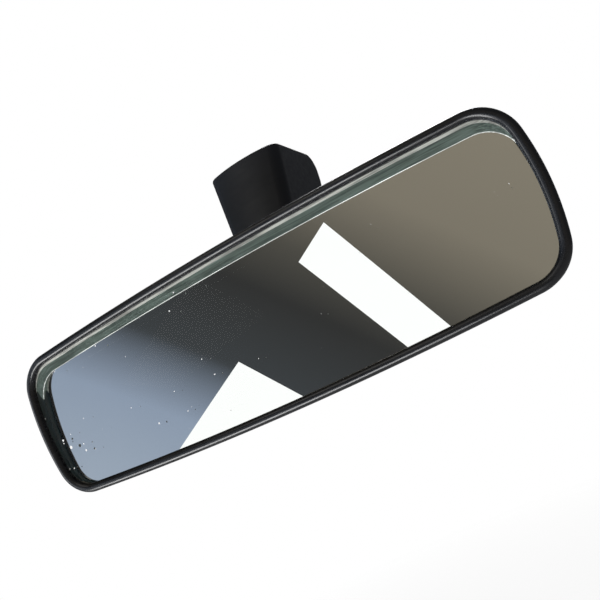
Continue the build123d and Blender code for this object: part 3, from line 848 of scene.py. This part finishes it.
def make_floor(stage):
    """A pale round floor that fades out at its edge, and is darker to all but the camera."""
    mesh = bpy.data.meshes.new("floor")
    shape = bmesh.new()
    bmesh.ops.create_circle(shape, cap_ends=True, segments=96, radius=stage.floor_r)
    shape.to_mesh(mesh)
    shape.free()
    floor = new_object("floor", mesh)
    floor.location = (0, RIM_Y, RIM_Z - stage.floor_drop)
    made, nodes, shader, output = material("floor")
    shader.inputs["Base Color"].default_value = (0.25, 0.25, 0.25, 1)
    shader.inputs["Emission Color"].default_value = (1, 1, 1, 1)
    path = nodes.add("ShaderNodeLightPath")
    glow = nodes.span(path.outputs["Is Camera Ray"], 0.0, 1.0, stage.floor_bounce, stage.floor_glow)
    nodes.join(glow, shader.inputs["Emission Strength"])
    shader.inputs["Roughness"].default_value = 0.8
    place = nodes.add("ShaderNodeTexCoord")
    away = nodes.add("ShaderNodeVectorMath", operation="LENGTH")
    nodes.join(place.outputs["Object"], away.inputs[0])
    fade_from = stage.floor_r * stage.fade_start
    fade_to = stage.floor_r * stage.fade_end
    fade = nodes.span(away.outputs["Value"], fade_from, fade_to, 0.0, 1.0)
    clear = nodes.add("ShaderNodeBsdfTransparent")
    mixed = nodes.add("ShaderNodeMixShader")
    nodes.join(fade, mixed.inputs["Fac"])
    nodes.join(shader.outputs["BSDF"], mixed.inputs[1])
    nodes.join(clear.outputs["BSDF"], mixed.inputs[2])
    nodes.join(mixed.outputs["Shader"], output.inputs["Surface"])
    dress(floor, made)


def make_world():
    """White surroundings for the camera, and a soft studio gradient for the mirror and the gloss."""
    world = bpy.data.worlds.new("studio")
    world.use_nodes = True
    bpy.context.scene.world = world
    nodes = Nodes(world.node_tree)
    output = nodes.add("ShaderNodeOutputWorld")
    place = nodes.add("ShaderNodeTexCoord")
    parts = nodes.add("ShaderNodeSeparateXYZ")
    nodes.join(place.outputs["Generated"], parts.inputs["Vector"])
    across = nodes.add("ShaderNodeMath", {1: 0.8}, operation="MULTIPLY_ADD")
    nodes.join(parts.outputs["Z"], across.inputs[0])
    nodes.join(parts.outputs["X"], across.inputs[2])
    share = nodes.span(across.outputs["Value"], -1.0, 1.0, 0.0, 1.0)
    colour = nodes.ramp(share, SURROUNDINGS)
    behind = nodes.add("ShaderNodeMix", {MIX_SECOND: BEHIND_COLOUR}, data_type="RGBA")
    nodes.join(nodes.span(parts.outputs["Y"], -0.2, 0.3, 0.0, 1.0), behind.inputs[0])
    nodes.join(colour, behind.inputs[MIX_FIRST])
    soft = nodes.add("ShaderNodeBackground", {"Strength": 1.0})
    nodes.join(behind.outputs[MIX_COLOUR], soft.inputs["Color"])
    white = nodes.add("ShaderNodeBackground", {"Color": (1, 1, 1, 1), "Strength": 1.0})
    path = nodes.add("ShaderNodeLightPath")
    mixed = nodes.add("ShaderNodeMixShader")
    nodes.join(path.outputs["Is Camera Ray"], mixed.inputs["Fac"])
    nodes.join(soft.outputs["Background"], mixed.inputs[1])
    nodes.join(white.outputs["Background"], mixed.inputs[2])
    nodes.join(mixed.outputs["Shader"], output.inputs["Surface"])
    bpy.context.scene.view_settings.view_transform = "Standard"


def area_light(name, place, size, radiance):
    """A rectangular softbox aimed at the head, as bright all over as `radiance` and unseen in the mirror."""
    data = bpy.data.lights.new(name, "AREA")
    data.shape = "RECTANGLE"
    data.size, data.size_y = size
    data.energy = radiance * math.pi * size[0] * size[1]
    light = bpy.data.objects.new(name, data)
    bpy.context.scene.collection.objects.link(light)
    light.rotation_mode = "QUATERNION"
    light.rotation_quaternion = (-Vector(place)).to_track_quat("-Z", "Y")
    light.location = head_middle() + Vector(place)
    light.visible_transmission = False


def panel(name, corners, distance, glow):
    """A flat bright panel that stands before the mirror, seen as a reflection in it."""
    middle = head_middle()
    mesh = bpy.data.meshes.new(name)
    points = [(middle.x + x, middle.y - distance, middle.z + z) for x, z in corners]
    mesh.from_pydata(points, [], [range(len(points))])
    sheet = new_object(name, mesh)
    made = bpy.data.materials.new(name)
    made.use_nodes = True
    nodes = Nodes(made.node_tree)
    light = nodes.add("ShaderNodeEmission", {"Strength": glow})
    output = nodes.add("ShaderNodeOutputMaterial")
    nodes.join(light.outputs["Emission"], output.inputs["Surface"])
    dress(sheet, made)


class MIRROR_PT_parts(bpy.types.Panel):
    """Buttons for the mirror's pieces, in the order they are made"""

    bl_idname = "MIRROR_PT_parts"
    bl_label = "Interior Rearview Mirror"
    bl_space_type = "VIEW_3D"
    bl_region_type = "UI"
    bl_category = "Mirror"

    def draw(self, context):
        for operator in OPERATORS:
            self.layout.operator(operator.bl_idname)


OPERATORS = (
    MIRROR_OT_bezel,
    MIRROR_OT_glass,
    MIRROR_OT_plastic_parts,
    MIRROR_OT_lever_ribs,
    MIRROR_OT_metal_parts,
    MIRROR_OT_stage,
)
GROUPS = {
    "mirror_head": HeadSizes,
    "mirror_glass": GlassSizes,
    "mirror_lever": LeverSizes,
    "mirror_finishes": Finishes,
    "mirror_stage": StageSizes,
}


def register():
    for group in GROUPS.values():
        bpy.utils.register_class(group)
    for name, group in GROUPS.items():
        setattr(bpy.types.Scene, name, PointerProperty(type=group))
    for operator in OPERATORS:
        bpy.utils.register_class(operator)
    bpy.utils.register_class(MIRROR_PT_parts)


def unregister():
    bpy.utils.unregister_class(MIRROR_PT_parts)
    for operator in reversed(OPERATORS):
        bpy.utils.unregister_class(operator)
    for name, group in GROUPS.items():
        delattr(bpy.types.Scene, name)
        bpy.utils.unregister_class(group)


def main():
    register()
    bpy.ops.mirror.bezel()
    bpy.ops.mirror.glass()
    bpy.ops.mirror.plastic_parts()
    bpy.ops.mirror.lever_ribs()
    bpy.ops.mirror.metal_parts()
    bpy.ops.mirror.stage()


if __name__ == "__main__":
    main()
